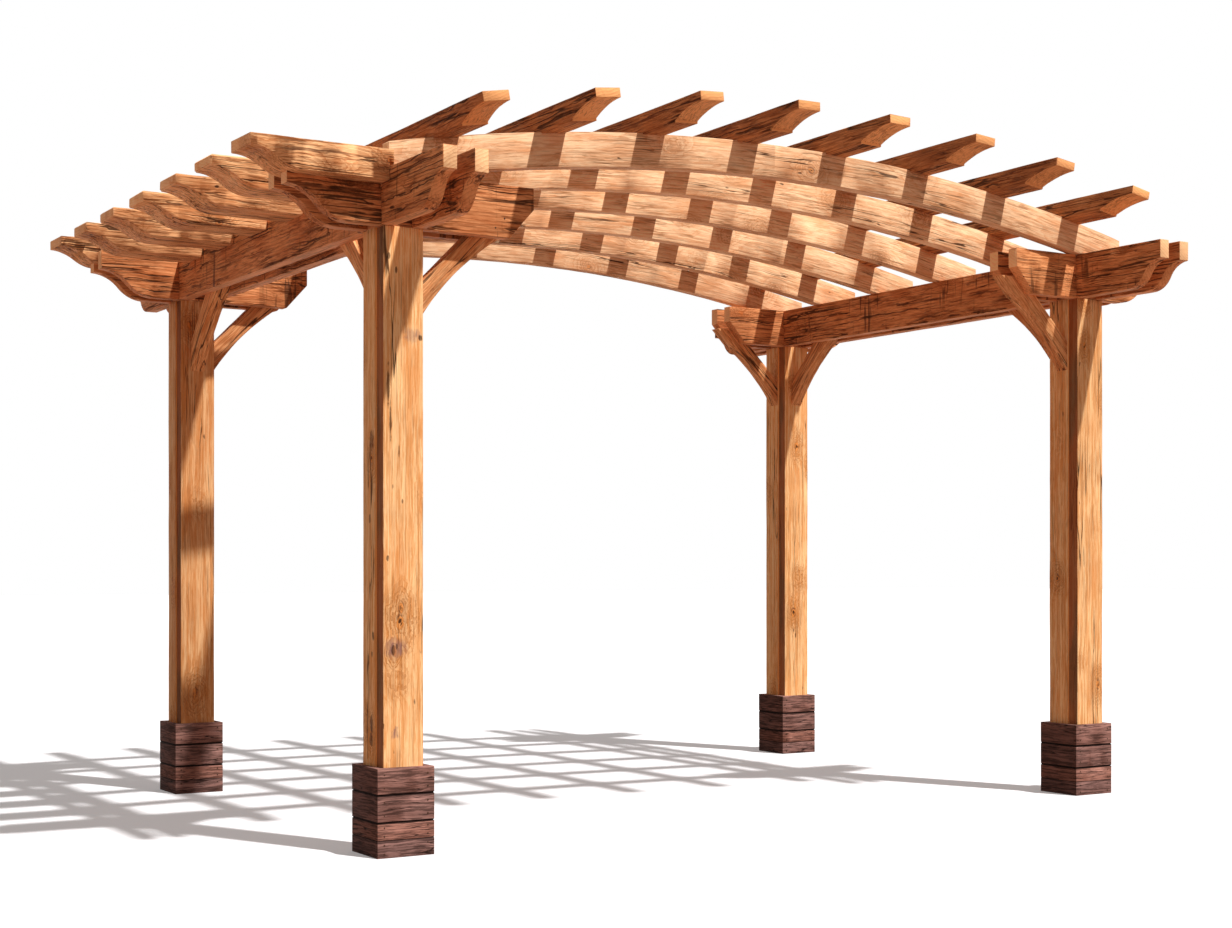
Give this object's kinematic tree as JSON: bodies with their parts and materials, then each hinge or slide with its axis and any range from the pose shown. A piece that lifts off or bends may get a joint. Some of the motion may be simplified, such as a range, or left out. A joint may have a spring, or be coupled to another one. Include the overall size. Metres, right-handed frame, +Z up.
{
  "type": "arched-roof timber pergola",
  "caption": "Open timber pergola with an arched slatted roof: rebated posts on boarded plinths, paired beams on knee braces, arched rafters, shaped rafter tails and coved purlins.",
  "frame": {"origin": "on the ground, under the middle of the bounding box", "axes": "+X along the long side from the left posts to the right posts, +Y from the front posts to the back posts, +Z up"},
  "size_m": [4.775, 3.574, 2.9938],
  "materials": {
    "post_timber": "rough-sawn oiled softwood with knots and checks",
    "plinth_boards": "dark stained rough boards",
    "beam_timber": "rough-sawn oiled softwood",
    "brace_timber": "rough-sawn oiled softwood",
    "arch_timber": "rough-sawn oiled softwood, fine lengthwise grain",
    "tail_timber": "rough, weathered softwood with chipped arrises",
    "purlin_timber": "rough-sawn softwood with dark streaks"
  },
  "bodies": {
    "root": {"post_front_left": "post_timber", "post_front_right": "post_timber", "post_back_left": "post_timber", "post_back_right": "post_timber", "plinth_front_left": "plinth_boards", "plinth_front_right": "plinth_boards", "plinth_back_left": "plinth_boards", "plinth_back_right": "plinth_boards", "beam_left_outer": "beam_timber", "beam_left_inner": "beam_timber", "beam_right_inner": "beam_timber", "beam_right_outer": "beam_timber", "cross_head_front_left": "beam_timber", "cross_head_front_right": "beam_timber", "cross_head_back_left": "beam_timber", "cross_head_back_right": "beam_timber", "brace_across_front_left": "brace_timber", "brace_across_front_right": "brace_timber", "brace_across_back_left": "brace_timber", "brace_across_back_right": "brace_timber", "brace_along_front_left": "brace_timber", "brace_along_front_right": "brace_timber", "brace_along_back_left": "brace_timber", "brace_along_back_right": "brace_timber", "arch_rafter_1": "arch_timber", "arch_rafter_2": "arch_timber", "arch_rafter_3": "arch_timber", "arch_rafter_4": "arch_timber", "arch_rafter_5": "arch_timber", "arch_rafter_6": "arch_timber", "rafter_tail_1": "tail_timber", "rafter_tail_2": "tail_timber", "rafter_tail_3": "tail_timber", "rafter_tail_4": "tail_timber", "rafter_tail_5": "tail_timber", "rafter_tail_6": "tail_timber", "rafter_tail_7": "tail_timber", "purlin_1": "purlin_timber", "purlin_2": "purlin_timber", "purlin_3": "purlin_timber", "purlin_4": "purlin_timber", "purlin_5": "purlin_timber", "purlin_6": "purlin_timber", "purlin_7": "purlin_timber", "purlin_8": "purlin_timber"}
  },
  "joints": []
}
